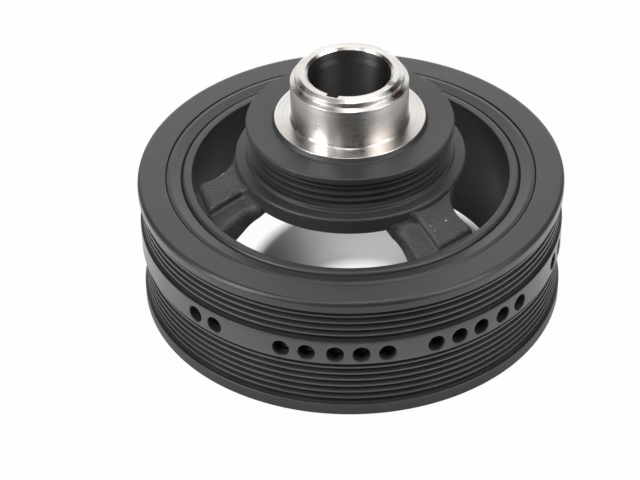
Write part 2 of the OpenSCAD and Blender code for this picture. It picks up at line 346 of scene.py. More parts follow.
def band_with_holes(radius, low, high, hole_z, hole_radius):
    """The plain band with its blind holes.

    Round a hole the points run along the edge of a square patch. They move in on the band's
    cylinder, x = sqrt(R^2 - s^2), until they lie on a circle, then down the hole's wall,
    and then down the drill's cone to its point.
    """
    patches, gaps = ring_angles(radius)
    rise = np.linspace(low, high, PATCH_RISE + 1)
    parts = []
    for gap in gaps:
        a, z = np.meshgrid(gap, rise, indexing="ij")
        points = np.stack([radius * np.cos(a), radius * np.sin(a), z], -1)
        parts.append((points.reshape(-1, 3), grid_faces(len(gap), len(rise))))
    side = np.linspace(-PATCH_HALF, PATCH_HALF, PATCH_SIDE + 1)
    s = np.concatenate(
        [side, np.full(PATCH_RISE - 1, side[-1]), side[::-1], np.full(PATCH_RISE - 1, side[0])]
    )
    z = np.concatenate(
        [
            np.full(PATCH_SIDE + 1, low),
            rise[1:-1],
            np.full(PATCH_SIDE + 1, high),
            rise[1:-1][::-1],
        ]
    )
    turn = np.arctan2(z - hole_z, s)
    circle = np.stack([np.cos(turn), np.sin(turn)], -1)
    edge = np.stack([s, z - hole_z], -1)
    flat = circle * (hole_radius + HOLE_ROUND * MM)
    cone = CONE_RISE * hole_radius
    rings = [(edge, 0.0), (0.5 * (edge + flat), 0.0), (flat, 0.0)]
    rings += [(circle * (hole_radius + out * MM), down * MM) for out, down in HOLE_STEPS]
    rings += [
        (circle * hole_radius, HOLE_DEPTH),
        (circle * hole_radius * 0.5, HOLE_DEPTH + cone / 2),
        (circle * CONE_POINT, HOLE_DEPTH + cone),
    ]
    across = np.array([ring[0] for ring in rings])
    deep = np.array([ring[1] for ring in rings])[:, None]
    x = np.sqrt(radius**2 - across[..., 0] ** 2) - deep
    for angle in HOLE_ANGLES:
        px = x * math.cos(angle) - across[..., 0] * math.sin(angle)
        py = x * math.sin(angle) + across[..., 0] * math.cos(angle)
        points = np.stack([px, py, across[..., 1] + hole_z], -1)
        parts.append((points.reshape(-1, 3), grid_faces(len(rings), len(s), False, True)))
    return parts


def inertia_ring_parts(sizes):
    """The turned ring: its closed outline without the band's strip, and the band with holes.

    Lengths are in millimetres until the outline is made.
    """
    pitch = sizes.groove_pitch / MM
    outer = sizes.ring_radius / MM
    top = sizes.ring_height / MM
    inner = outer - RING_WALL
    band = outer - 0.2
    rib = outer - 1.5
    low_set = 6.1
    band_low = low_set + LOW_GROOVES * pitch - GROOVE_TIP
    flange = top - 5.4
    band_high = flange - (HIGH_GROOVES * pitch - GROOVE_TIP)
    rows = [(inner, 0, 0.6), (band, 0, 0.5), (band, low_set, 0.35)]
    rows += groove_rows(rib, low_set, LOW_GROOVES, pitch)
    rows += [(band, band_low, 0.3), (band, band_high, 0.3)]
    rows += groove_rows(rib, band_high, HIGH_GROOVES, pitch)
    rows += [(outer, flange, 0.3), (outer, top, 1.9), (inner, top, 0.5)]
    profile = outline(rows, 3)
    on_band = np.abs(profile[:, 0] - band * MM) < 1e-9
    above = profile[:, 1] > (band_low + 0.1) * MM
    below = profile[:, 1] < (band_high - 0.1) * MM
    strip = np.flatnonzero(on_band & above & below)
    low, high = profile[strip[0], 1], profile[strip[-1], 1]
    patches, gaps = ring_angles(band * MM)
    columns = np.concatenate(
        [np.concatenate([patch[:-1], gap[:-1]]) for patch, gap in zip(patches, gaps)]
    )
    keep = np.ones(len(profile), bool)
    keep[strip[0] + 1 : strip[-1]] = False
    kept = profile[keep]
    first = int(np.flatnonzero(keep).tolist().index(strip[0]))
    opened = np.roll(kept, -(first + 1), 0)
    body = turned(opened, columns, closed=False)
    hole_z = (band_low + 5.6) * MM
    return [body] + band_with_holes(band * MM, low, high, hole_z, sizes.hole_radius)


# The hub's turned core, with its bore and keyway

KEY_ANGLE = math.radians(-111.5)
KEY_HALF = 2.6 * MM
KEY_DEPTH = 3.4 * MM
PULLEY_GROOVES = 4
# Radii in mm
SLEEVE = 31.0
DRUM = 54.0
PULLEY = 48.2
PULLEY_RIBS = 46.4
BOSS = 34.8
JOURNAL = 27.2
NECK = 25.0


def core_outline(sizes):
    """Outline of the core: sleeve, drum, small pulley, boss, journal, lip, bore and seat.

    The named lengths are heights in millimetres, and so are the rows' second numbers.
    """
    pitch = sizes.groove_pitch / MM
    top = sizes.top / MM
    drum = sizes.ring_height / MM + 2.7
    foot = drum - 15.5
    shoulder = drum + 7.8
    low_set = shoulder + 0.5 + 1.6
    flange = low_set + PULLEY_GROOVES * pitch - GROOVE_TIP
    disc = flange + 3.1
    boss = disc + 2.1
    lip = top - 0.9
    neck = lip - 2.2
    lead = neck - 1.1
    bore = sizes.bore_radius / MM
    seat = foot + 3
    rows = [
        (SLEEVE, foot, 0.6),
        (SLEEVE, drum, 4.0),
        (DRUM, drum, 0.8),
        (DRUM - 0.25, shoulder, 1.1),
        (PULLEY + 0.4, shoulder + 0.45, 0.5),
        (PULLEY, shoulder + 2.1, 0.35),
    ]
    rows += groove_rows(PULLEY_RIBS, low_set, PULLEY_GROOVES, pitch, crest=0.2)
    rows += [
        (PULLEY, flange, 0.25),
        (PULLEY, disc, 0.8),
        (BOSS + 1.3, disc, 0.6),
        (BOSS, boss, 0.35),
        (JOURNAL, boss, 1.2),
        (JOURNAL, lead, 0.25),
        (NECK, neck, 0.3),
        (NECK, lip, 0.35),
        (NECK - 2, top, 0.2),
        (bore + 1.5, top, 0.15),
        (bore + 0.35, top - 0.95, 0.2),
        (bore + 0.35, top - 5.2, 0.4),
        (bore, top - 7.6, 0.4),
        (bore, seat, 0.2),
        (25, seat, 0.3),
        (25, foot, 0.4),
    ]
    return outline(rows)


def core_parts(sizes):
    """The core's outline turned about Z, with the bore's wall pushed out to the keyway's floor."""
    profile = core_outline(sizes)
    floor = sizes.bore_radius + KEY_DEPTH
    wide = math.asin(KEY_HALF / sizes.bore_radius)
    narrow = math.atan2(KEY_HALF, floor)
    inside = np.array([-wide, -narrow, -narrow / 2, 0, narrow / 2, narrow, wide])
    rest = np.linspace(wide, 2 * np.pi - wide, CORE_COLUMNS)[1:-1]
    angles = np.concatenate([inside, rest]) + KEY_ANGLE

    def keyed(r, z, a):
        off = np.abs((a - KEY_ANGLE + np.pi) % (2 * np.pi) - np.pi)
        slot = np.where(off <= narrow + 1e-9, floor / np.cos(np.minimum(off, narrow)), 0)
        bore = (r < floor / math.cos(narrow)) & (z > HUB_LOW.z)
        return np.where(bore, np.maximum(r, slot), r)

    return [turned(profile, angles, keyed)]


# The hub's rim and spokes, with lengths in mm

RIM_WALL = 4.6
RIM_DRAFT = 2.2
# The middle of the window that the two stepped spokes share
WINDOW = math.radians(-105.5)
PAD_TOP_RISE = 7.2
PAD_RUN = 20.3
PAD_SLOPE = PAD_TOP_RISE / PAD_RUN
LEDGE_DROP = 4.0
# Degrees from the window's middle to the flanks of a stepped spoke, and each one's blend
FAR_FLANK = (65.2, 14)
PAD_FLANK = (48.6, 4)
LEDGE_FLANK = (39.35, 6.5)
# The same for a plain spoke, from its own middle
PLAIN_FLANK = (8.3, 14)
# Underside: its two lines' ends, as radius and height over the ring's top, and the knee's size
UNDER_FOOT = (49.3, 2.7)
KNEE = (60.0, -10.5)
UNDER_TIP = (74.3, -20.0)
KNEE_ROUND = 0.35
# A stepped spoke's lower edge: radii, and degrees from the window's middle
LOW_EDGE = (
    (48.9, 50.0, 51.0, 52.0, 53.0, 54.0, 55.0, 56.0, 57.0, 58.0, 60.0, 62.0, 77.0),
    (30.5, 31.9, 33.0, 34.0, 34.9, 35.8, 36.7, 37.5, 38.2, 38.8, 39.4, 39.5, 39.3),
)


def rim_parts(sizes):
    """The rim's drafted outline turned about Z."""
    outer = sizes.rim_radius / MM
    top = sizes.ring_height / MM
    rows = [
        (outer - RIM_WALL - RIM_DRAFT, RIM_LOW, 0.8),
        (outer, RIM_LOW, 0.6),
        (outer, top, 1.6),
        (outer - RIM_WALL, top, 0.8),
    ]
    return [turned(outline(rows, 5), even_angles(TURNED_COLUMNS))]


def flare(radius, flank, side):
    """Angle of a flank at each radius: straight, then along a circle that touches the drum.

    A flank is its angle in degrees and its blend, the circle's radius. The circle's centre
    is blend out from the drum and blend beside the flank, so the angle from it follows the
    law of cosines. Side is 1 for the flank on the high side.
    """
    straight, blend = math.radians(flank[0]), flank[1]
    reach = DRUM + blend
    turn = math.asin(blend / reach)
    cosine = (radius**2 + reach**2 - blend**2) / (2 * radius * reach)
    away = np.arccos(np.clip(cosine, -1, 1))
    curved = turn - away
    foot = math.sqrt(reach**2 - blend**2)
    curved = np.where(radius < DRUM, turn, np.where(radius > foot, 0, curved))
    return straight + side * curved


def spoke_radii():
    """Radii along a spoke, and drops below its top line to the pad's end and the gap's floor."""
    rows = np.array(
        [
            (48.9, 0), (51.0, 0), (53.0, 0), (54.0, 0), (54.3, 0), (54.7, 0), (55.2, 0),
            (55.8, 0), (56.6, 0), (57.6, 0), (58.6, 0), (59.4, 0), (60.0, 0), (60.6, 0),
            (61.4, 0), (62.6, 0), (64.0, 0), (65.5, 0), (67.0, 0), (68.4, 0), (69.5, 0),
            (69.9, 0.02), (70.3, 0.1), (70.7, 0.26), (71.05, 0.5), (71.35, 0.8),
            (71.6, 1.16), (71.77, 1.55), (71.87, 1.95), (71.92, 2.2), (72.02, 2.5),
            (72.2, 2.74), (72.5, 2.92), (72.9, 3.0), (73.5, 3.0), (74.4, 3.0), (76.6, 3.0),
        ]
    )
    return rows[:, 0], rows[:, 1]


def line_at(radius, first, last):
    """Height at each radius on the straight line through two (radius, height) points."""
    share = (radius - first[0]) / (last[0] - first[0])
    return first[1] + share * (last[1] - first[1])


def underside(radius, top):
    """Height of a spoke's underside: the higher of two sloping lines, with their knee rounded."""
    inner = line_at(radius, UNDER_FOOT, KNEE)
    outer = line_at(radius, KNEE, UNDER_TIP)
    half = (inner - outer) / 2
    return top + (inner + outer) / 2 + np.sqrt(half**2 + KNEE_ROUND**2)


def foot_rise(radius, size):
    """Rise of a cast corner at the drum: a quarter circle that starts at size from the drum."""
    inward = np.clip(DRUM + size - radius, 0, size)
    return size - np.sqrt(np.maximum(size**2 - inward**2, 0))


def spoke_part(sizes, stepped, side):
    """One spoke as rounded sections along its radius.

    A section is a closed outline in (arc length, height): the pad, the step beside it where
    there is one, and the sloping underside. Each point then goes to its own angle, arc
    length over radius, about the axis. Side is 1 or -1 and mirrors a stepped spoke.
    """
    radius, drop = spoke_radii()
    top = sizes.ring_height / MM
    pad = top + PAD_TOP_RISE - (radius - DRUM) * PAD_SLOPE
    under = underside(radius, top)
    pad_top = pad - drop + foot_rise(radius, 1.8)
    ledge = pad - LEDGE_DROP + foot_rise(radius, 2.2)
    if stepped:
        far = flare(radius, FAR_FLANK, 1)
        near = flare(radius, PAD_FLANK, -1)
        edge = flare(radius, LEDGE_FLANK, -1)
        low_edge = np.radians(np.interp(radius, LOW_EDGE[0], LOW_EDGE[1]))
        corners = np.stack(
            [
                np.stack([low_edge * radius, under], -1),
                np.stack([far * radius, under], -1),
                np.stack([far * radius, pad_top], -1),
                np.stack([near * radius, pad_top], -1),
                np.stack([near * radius, ledge], -1),
                np.stack([edge * radius, ledge], -1),
            ],
            1,
        )
        rounds = [1.0, 2.2, 2.0, 2.6, 1.3, 3.2]
    else:
        high = flare(radius, PLAIN_FLANK, 1)
        corners = np.stack(
            [
                np.stack([-high * radius, under], -1),
                np.stack([high * radius, under], -1),
                np.stack([high * radius, pad_top], -1),
                np.stack([-high * radius, pad_top], -1),
            ],
            1,
        )
        rounds = [2.2, 2.2, 2.0, 2.0]
    sections = rounded(corners, rounds, 4, HOLD)
    angle = side * sections[..., 0] / radius[:, None]
    angle = angle + (WINDOW if stepped else WINDOW + np.pi)
    r = radius[:, None] * MM
    points = np.stack(
        [r * np.cos(angle), r * np.sin(angle), sections[..., 1] * MM], -1
    )
    rows, columns = sections.shape[:2]
    end = np.arange(columns)
    caps = np.array([end, (rows - 1) * columns + end[::-1]])
    return points.reshape(-1, 3), grid_faces(rows, columns, False, True), caps


# The rubber

# Its upper end: distance from the rim, height over the ring's top and rounding, in mm
RUBBER_END = (
    (0.0, -1.9, 0.0),
    (0.45, -1.5, 0.3),
    (0.75, -0.85, 0.3),
    (2.6, -0.5, 2.0),
    (5.3, 0.05, 1.6),
    (6.75, -0.3, 0.5),
    (7.15, -0.75, 0.2),
    (7.3, -1.5, 0.0),
)


def rubber_parts(sizes):
    """The rubber's outline turned about Z: low crowned ends with a narrow crease at each edge."""
    inner = sizes.rim_radius / MM
    outer = sizes.ring_radius / MM - RING_WALL
    top = sizes.ring_height / MM
    stretch = (outer - inner) / RUBBER_END[-1][0]
    high = [(inner + x * stretch, top + z, size) for x, z, size in RUBBER_END]
    low = [(inner + x * stretch, RIM_LOW - z, size) for x, z, size in RUBBER_END]
    return [turned(outline(low + high[::-1]), even_angles(TURNED_COLUMNS))]


# Materials


def add(tree, kind, place, **values):
    """A node of this kind in the tree, with its settings and input values."""
    node = tree.nodes.new(kind)
    node.location = place
    for key, value in values.items():
        if hasattr(node, key):
            setattr(node, key, value)
        else:
            node.inputs[key.replace("_", " ")].default_value = value
    return node


def feed(tree, socket, value):
    """Links a value's socket to an input, or sets the input where the value is plain."""
    if isinstance(value, bpy.types.NodeSocket):
        tree.links.new(value, socket)
    else:
        socket.default_value = value


def math_node(tree, operation, place, *values):
    """The result of a math node; each value is a socket or a number."""
    node = add(tree, "ShaderNodeMath", place, operation=operation)
    for socket, value in zip(node.inputs, values):
        feed(tree, socket, value)
    return node.outputs[0]


def color_mix(tree, factor, first, second, place):
    """A colour mix by a factor socket; first and second are sockets or plain colours."""
    node = add(tree, "ShaderNodeMix", place, data_type="RGBA")
    feed(tree, node.inputs[0], factor)
    for socket, value in ((node.inputs[6], first), (node.inputs[7], second)):
        plain = not isinstance(value, bpy.types.NodeSocket)
        feed(tree, socket, (*value[:3], 1) if plain else value)
    return node.outputs[2]


def map_range(tree, value, low, high, out_low, out_high, place):
    """A clamped linear map of a socket."""
    node = add(tree, "ShaderNodeMapRange", place)
    tree.links.new(value, node.inputs["Value"])
    numbers = {"From Min": low, "From Max": high, "To Min": out_low, "To Max": out_high}
    for label, number in numbers.items():
        node.inputs[label].default_value = number
    return node.outputs[0]


def bump(tree, height, distance, place):
    """A bump of this depth on a height socket."""
    node = add(tree, "ShaderNodeBump", place)
    node.inputs["Distance"].default_value = distance
    node.inputs["Strength"].default_value = 1.0
    tree.links.new(height, node.inputs["Height"])
    return node.outputs["Normal"]


def new_group(name, inputs, outputs):
    """An empty shader node group with named inputs and outputs."""
    tree = bpy.data.node_groups.new(name, "ShaderNodeTree")
    for label, kind, value in inputs:
        socket = tree.interface.new_socket(label, in_out="INPUT", socket_type=kind)
        if value is not None:
            socket.default_value = value
    for label, kind in outputs:
        tree.interface.new_socket(label, in_out="OUTPUT", socket_type=kind)
    return tree, tree.nodes.new("NodeGroupInput"), tree.nodes.new("NodeGroupOutput")


def grain_group():
    """Fine paint grain: two sizes of noise added for height, and sparse specks for a mask."""
    tree, entry, leave = new_group(
        "Paint Grain",
        [
            ("Vector", "NodeSocketVector", None),
            ("Scale", "NodeSocketFloat", 1400.0),
            ("Coarse", "NodeSocketFloat", 0.35),
        ],
        [(label, "NodeSocketFloat") for label in ("Height", "Patches", "Specks")],
    )
    link = tree.links.new
    fine = add(tree, "ShaderNodeTexNoise", (-400, 200), Detail=3.0, Roughness=0.6)
    link(entry.outputs["Vector"], fine.inputs["Vector"])
    link(entry.outputs["Scale"], fine.inputs["Scale"])
    part = math_node(tree, "MULTIPLY", (-600, -100), entry.outputs["Scale"], 0.22)
    coarse = add(tree, "ShaderNodeTexNoise", (-400, -100), Detail=4.0, Roughness=0.55)
    link(entry.outputs["Vector"], coarse.inputs["Vector"])
    link(part, coarse.inputs["Scale"])
    heights = coarse.outputs["Fac"], entry.outputs["Coarse"], fine.outputs["Fac"]
    link(math_node(tree, "MULTIPLY_ADD", (-150, 50), *heights), leave.inputs["Height"])
    wide = add(tree, "ShaderNodeTexNoise", (-400, -400), Scale=55.0, Detail=5.0, Roughness=0.6)
    link(entry.outputs["Vector"], wide.inputs["Vector"])
    link(wide.outputs["Fac"], leave.inputs["Patches"])
    dots = add(tree, "ShaderNodeTexVoronoi", (-400, -700), Scale=420.0, Randomness=1.0)
    link(entry.outputs["Vector"], dots.inputs["Vector"])
    near = map_range(tree, dots.outputs["Distance"], 0.10, 0.03, 0.0, 1.0, (-150, -700))
    some = add(tree, "ShaderNodeTexNoise", (-400, -1000), Scale=140.0, Detail=1.0)
    link(entry.outputs["Vector"], some.inputs["Vector"])
    few = map_range(tree, some.outputs["Fac"], 0.60, 0.72, 0.0, 1.0, (-150, -1000))
    link(math_node(tree, "MULTIPLY", (50, -800), near, few), leave.inputs["Specks"])
    return tree


# Share of the height that lathe marks count, so that they run on over cones and walls
HEIGHT_SHARE = 0.83


def turned_group():
    """Lathe marks: noise read along one length only, the radius plus a share of the height."""
    tree, entry, leave = new_group(
        "Lathe Marks",
        [
            ("Vector", "NodeSocketVector", None),
            ("Scale", "NodeSocketFloat", 6000.0),
        ],
        [("Height", "NodeSocketFloat"), ("Streaks", "NodeSocketFloat")],
    )
    link = tree.links.new
    split = add(tree, "ShaderNodeSeparateXYZ", (-900, 0))
    link(entry.outputs["Vector"], split.inputs[0])
    flat = add(tree, "ShaderNodeCombineXYZ", (-700, 150))
    link(split.outputs["X"], flat.inputs["X"])
    link(split.outputs["Y"], flat.inputs["Y"])
    radius = add(tree, "ShaderNodeVectorMath", (-500, 150), operation="LENGTH")
    link(flat.outputs[0], radius.inputs[0])
    along = split.outputs["Z"], HEIGHT_SHARE, radius.outputs["Value"]
    pick = math_node(tree, "MULTIPLY_ADD", (-300, 100), *along)
    line = add(tree, "ShaderNodeTexNoise", (-50, 200), noise_dimensions="1D", Detail=2.0)
    link(pick, line.inputs["W"])
    link(entry.outputs["Scale"], line.inputs["Scale"])
    link(line.outputs["Fac"], leave.inputs["Height"])
    part = math_node(tree, "MULTIPLY", (-300, -200), entry.outputs["Scale"], 0.12)
    broad = add(tree, "ShaderNodeTexNoise", (-50, -100), noise_dimensions="1D", Detail=3.0)
    link(pick, broad.inputs["W"])
    link(part, broad.inputs["Scale"])
    link(broad.outputs["Fac"], leave.inputs["Streaks"])
    return tree


def group_node(tree, group, place, **values):
    """A node that holds a group, with its input values."""
    node = tree.nodes.new("ShaderNodeGroup")
    node.node_tree = group
    node.location = place
    for key, value in values.items():
        node.inputs[key.replace("_", " ")].default_value = value
    return node


def named_group(name, maker):
    """The group of this name, made the first time that it is asked for."""
    return bpy.data.node_groups.get(name) or maker()


def start_material(name):
    """An empty node material with its shader, its output and its object coordinates."""
    material = bpy.data.materials.new(name)
    material.use_nodes = True
    tree = material.node_tree
    tree.nodes.clear()
    out = add(tree, "ShaderNodeOutputMaterial", (900, 0))
    shader = add(tree, "ShaderNodeBsdfPrincipled", (600, 0))
    tree.links.new(shader.outputs["BSDF"], out.inputs["Surface"])
    where = add(tree, "ShaderNodeTexCoord", (-1200, 0))
    return material, tree, shader, where.outputs["Object"]


def mark_mask(tree, where, centre, size, ragged, place):
    """1 within size of a point given in mm, falling to 0, with its edge made ragged by noise."""
    noise = add(tree, "ShaderNodeTexNoise", place, Scale=900.0, Detail=2.0)
    tree.links.new(where, noise.inputs["Vector"])
    off = add(tree, "ShaderNodeVectorMath", (place[0] + 200, place[1]), operation="DISTANCE")
    tree.links.new(where, off.inputs[0])
    off.inputs[1].default_value = tuple(c * MM for c in centre)
    moved = noise.outputs["Fac"], ragged * size * MM, off.outputs["Value"]
    rough = math_node(tree, "MULTIPLY_ADD", (place[0] + 400, place[1]), *moved)
    reach = size * (1 + ragged / 2) * MM
    last = (place[0] + 600, place[1])
    return map_range(tree, rough, reach, reach * 0.75, 0.0, 1.0, last)


# Marks on the paint: centre in mm, size in mm, colour
# On the pads the near-white mark at the left pad's far edge is a painted patch of light, and the
# near-black ones at the pads' edges are painted shade; the grey ones are scratches and the small
# light one a speck
PAD_MARKS_AND_PAINTED_LIGHT = (
    ((-60.0, -9.1, 69.6), 1.1, (0.62, 0.62, 0.60)),
    ((42.8, -46.0, 68.9), 0.6, (0.6, 0.6, 0.58)),
    ((47.9, -38.0, 69.5), 1.5, (0.004, 0.004, 0.004)),
    ((48.9, -40.9, 68.6), 1.2, (0.005, 0.005, 0.005)),
    ((-56.7, -22.9, 69.5), 1.1, (0.006, 0.006, 0.006)),
    ((-54.3, -25.1, 69.9), 0.9, (0.008, 0.008, 0.008)),
    ((35.6, -50.4, 69.3), 0.7, (0.14, 0.14, 0.14)),
    ((37.6, -52.6, 68.4), 0.8, (0.11, 0.11, 0.11)),
)
BAND_MARKS = (
    ((-47.2, -88.0, 38.9), 2.0, (0.022, 0.022, 0.023)),
    ((-42.8, -90.2, 40.2), 1.6, (0.024, 0.024, 0.025)),
)


def tinted(color, factor):
    """A colour made lighter or darker."""
    return tuple(c * factor for c in color)


def paint_material(
    name, color, grain_scale, grain_depth, coarse, roughness, turned_depth=0.0, marks=()
):
    """Satin paint: grain, turning marks under it, slow changes of tone, light dust and marks, some
    of them painted light and shade.
    """
    material, tree, shader, where = start_material(name)
    grain = group_node(
        tree, named_group("Paint Grain", grain_group), (-900, 0), Scale=grain_scale, Coarse=coarse
    )
    tree.links.new(where, grain.inputs["Vector"])
    lathe = group_node(tree, named_group("Lathe Marks", turned_group), (-900, -400), Scale=2600.0)
    tree.links.new(where, lathe.inputs["Vector"])
    shade = map_range(tree, grain.outputs["Patches"], 0.35, 0.65, 0.0, 1.0, (-600, 250))
    base = color_mix(tree, shade, tinted(color, 0.88), tinted(color, 1.12), (-300, 250))
    fine = map_range(tree, grain.outputs["Height"], 0.5, 1.1, 0.0, 0.35, (-600, 500))
    base = color_mix(tree, fine, base, tinted(color, 1.7), (-150, 350))
    most = 0.22 if turned_depth else 0.0
    streak = map_range(tree, lathe.outputs["Streaks"], 0.45, 0.75, 0.0, most, (-600, -250))
    base = color_mix(tree, streak, base, tinted(color, 1.5), (0, 350))
    speck = map_range(tree, grain.outputs["Specks"], 0.0, 1.0, 0.0, 0.6, (-600, 0))
    base = color_mix(tree, speck, base, (0.33, 0.33, 0.32), (150, 350))
    for k, (centre, size, tone) in enumerate(marks):
        mask = mark_mask(tree, where, centre, size, 0.9, (-1400, -700 - 250 * k))
        base = color_mix(tree, mask, base, tone, (300, -700 - 250 * k))
    tree.links.new(base, shader.inputs["Base Color"])
    rough = map_range(
        tree, grain.outputs["Patches"], 0.3, 0.7, roughness - 0.04, roughness + 0.04, (-300, -50)
    )
    tree.links.new(rough, shader.inputs["Roughness"])
    normal = bump(tree, grain.outputs["Height"], grain_depth, (200, -300))
    if turned_depth:
        again = bump(tree, lathe.outputs["Height"], turned_depth, (400, -300))
        tree.links.new(normal, again.node.inputs["Normal"])
        normal = again
    tree.links.new(normal, shader.inputs["Normal"])
    shader.inputs["Specular IOR Level"].default_value = 0.5
    return material


# Brown stains on the lip and the neck: centre in mm, size in mm
STAINS = (
    ((20.5, -14.5, 117.5), 3.4),
    ((23.0, -12.2, 115.3), 2.2),
    ((18.6, -10.5, 119.5), 2.4),
    ((-22.0, -12.5, 118.0), 3.0),
)
STAIN_DEPTH = 0.8
# What a thin brown film leaves of the iron's red, green and blue
FILM_TINT = (0.93, 0.85, 0.79)


def steel_material(name, color, stain, roughness, anisotropic):
    """Turned bare iron: fine lathe marks, a thin brown film in patches, and darker stains."""
    material, tree, shader, where = start_material(name)
    marks = group_node(tree, named_group("Lathe Marks", turned_group), (-900, 200), Scale=5000.0)
    tree.links.new(where, marks.inputs["Vector"])
    grain = group_node(
        tree, named_group("Paint Grain", grain_group), (-900, -100), Scale=1800.0, Coarse=0.6
    )
    tree.links.new(where, grain.inputs["Vector"])
    shade = map_range(tree, marks.outputs["Streaks"], 0.35, 0.65, 0.0, 1.0, (-600, 250))
    base = color_mix(tree, shade, tinted(color, 0.9), color, (-300, 250))
    film = map_range(tree, grain.outputs["Patches"], 0.42, 0.65, 0.0, 0.6, (-600, 500))
    filmed = tuple(c * f for c, f in zip(color, FILM_TINT))
    base = color_mix(tree, film, base, filmed, (-150, 350))
    for k, (centre, size) in enumerate(STAINS):
        mask = mark_mask(tree, where, centre, size, 1.3, (-1400, -700 - 250 * k))
        part = math_node(tree, "MULTIPLY", (0, -700 - 250 * k), mask, STAIN_DEPTH)
        base = color_mix(tree, part, base, stain, (300, -700 - 250 * k))
    tree.links.new(base, shader.inputs["Base Color"])
    shader.inputs["Metallic"].default_value = 1.0
    rough = map_range(
        tree, grain.outputs["Patches"], 0.35, 0.7, roughness - 0.03, roughness + 0.05, (-300, -50)
    )
    tree.links.new(rough, shader.inputs["Roughness"])
    shader.inputs["Anisotropic"].default_value = anisotropic
    shader.inputs["Anisotropic Rotation"].default_value = 0.25
    normal = bump(tree, marks.outputs["Height"], 0.004 * MM, (200, -300))
    tree.links.new(normal, shader.inputs["Normal"])
    tangent = add(tree, "ShaderNodeTangent", (200, -500), direction_type="RADIAL", axis="Z")
    tree.links.new(tangent.outputs["Tangent"], shader.inputs["Tangent"])
    return material


# Operators


class BALANCER_OT_ring(bpy.types.Operator):
    """Builds the inertia ring with its belt grooves and balance holes"""

    bl_idname = "balancer.ring"
    bl_label = "Inertia Ring"

    def execute(self, context):
        scene = context.scene
        paint = scene.balancer_finish.paint
        material = paint_material(
            "Ring Paint", paint, 1500.0, 0.03 * MM, 0.4, 0.35, 0.006 * MM, BAND_MARKS
        )
        parts = inertia_ring_parts(scene.balancer_sizes)
        build("ring_turned", parts, material, "inertia_ring")
        return {"FINISHED"}


class BALANCER_OT_rubber(bpy.types.Operator):
    """Builds the bonded rubber between the rim and the ring"""

    bl_idname = "balancer.rubber"
    bl_label = "Rubber"

    def execute(self, context):
        scene = context.scene
        paint = scene.balancer_finish.paint
        material = paint_material("Painted Rubber", paint, 1300.0, 0.06 * MM, 0.6, 0.4)
        parts = rubber_parts(scene.balancer_sizes)
        build("rubber_bulged", parts, material, "rubber_sleeve")
        return {"FINISHED"}


class BALANCER_OT_hub(bpy.types.Operator):
    """Builds the hub: its turned core, its rim and its three cast spokes"""

    bl_idname = "balancer.hub"
    bl_label = "Hub"

    def execute(self, context):
        scene = context.scene
        sizes, finish = scene.balancer_sizes, scene.balancer_finish
        color, iron, stain = finish.paint, finish.steel, finish.stain
        paint = paint_material("Hub Paint", color, 1400.0, 0.03 * MM, 0.5, 0.46, 0.006 * MM)
        rim = paint_material("Rim Paint", color, 1300.0, 0.05 * MM, 0.5, 0.38, 0.008 * MM)
        # The cast spokes get the paint 1.3 times lighter than the rest
        cast_tone = tinted(color, 1.3)
        # The cast paint carries the pads' marks, among them a painted patch of light and painted
        # shade
        cast = paint_material("Cast Paint", cast_tone, 1000.0, 0.5 * MM, 0.8, 0.4, 0.0, PAD_MARKS_AND_PAINTED_LIGHT)
        steel = steel_material("Turned Iron", iron, stain, 0.28, 0.85)
        bore = steel_material("Bore Iron", tinted(iron, 0.27), stain, 0.42, 0.8)
        core = build("hub_core", core_parts(sizes), paint, "hub")
        core.data.materials.append(steel)
        core.data.materials.append(bore)
        mark_bare(core.data)
        build("hub_rim", rim_parts(sizes), rim, "hub")
        for name, stepped, side in (
            ("spoke_right", True, 1),
            ("spoke_left", True, -1),
            ("spoke_back", False, 1),
        ):
            build(name, [spoke_part(sizes, stepped, side)], cast, "hub")
        return {"FINISHED"}


# Where the core is bare, as radius and height in mm: within the first and above the second
BARE_BOSS = (34.9, 95.5)
BARE_BORE = (24.9, 52.5)
# Where the bare iron is the bore's duller one: within the first and below the second
DULL_BORE = (22.3, 118.5)


def mark_bare(mesh):
    """Gives the bare iron's material to the boss and the snout, and a duller one to the bore."""
    count = len(mesh.polygons)
    centre = np.empty(count * 3)
    mesh.polygons.foreach_get("center", centre)
    centre = centre.reshape(-1, 3) / MM
    radius = np.hypot(centre[:, 0], centre[:, 1])
    bare = (radius < BARE_BOSS[0]) & (centre[:, 2] > BARE_BOSS[1])
    bare |= (radius < BARE_BORE[0]) & (centre[:, 2] > BARE_BORE[1])
    inside = bare & (radius < DULL_BORE[0]) & (centre[:, 2] < DULL_BORE[1])
    mesh.polygons.foreach_set("material_index", bare.astype(np.int32) + inside)


# The stage: floor, walls, lights and camera

# How bright the camera sees the floor and the walls
WHITE = 0.975
# Painted light that the floor gives off at distances from the axis, in front of the part and
# beside it; its low values next to the part are a painted contact shadow
FRONT_GLOW = (
    (0.09, 0.55), (0.108, 0.62), (0.12, 2.2), (0.14, 2.1), (0.16, 1.5), (0.19, 0.4), (0.3, 0.0),
)
SIDE_GLOW = (
    (0.09, 0.55), (0.108, 0.6), (0.12, 1.5), (0.145, 1.6), (0.17, 1.5), (0.22, 1.3), (0.4, 0.95),
)
# The longest distance and the most light that the rows above may hold
GLOW_REACH = 0.5
GLOW_MOST = 4.0
# Place, inner and outer radius of the soft circles on the floor inside the ring: the shadow under
# the hub, inside which the floor gets no glow and is lit by the lamps alone, with a painted soft
# edge; and the painted pools of light where light falls through the bore and through the near
# window
HUB_SHADOW = (14 * MM, -3 * MM, 61 * MM, 68 * MM)
PAINTED_BORE_LIGHT = (5 * MM, -16 * MM, 24 * MM, 35 * MM)
PAINTED_WINDOW_LIGHT = (12 * MM, 20 * MM, 10 * MM, 46 * MM)


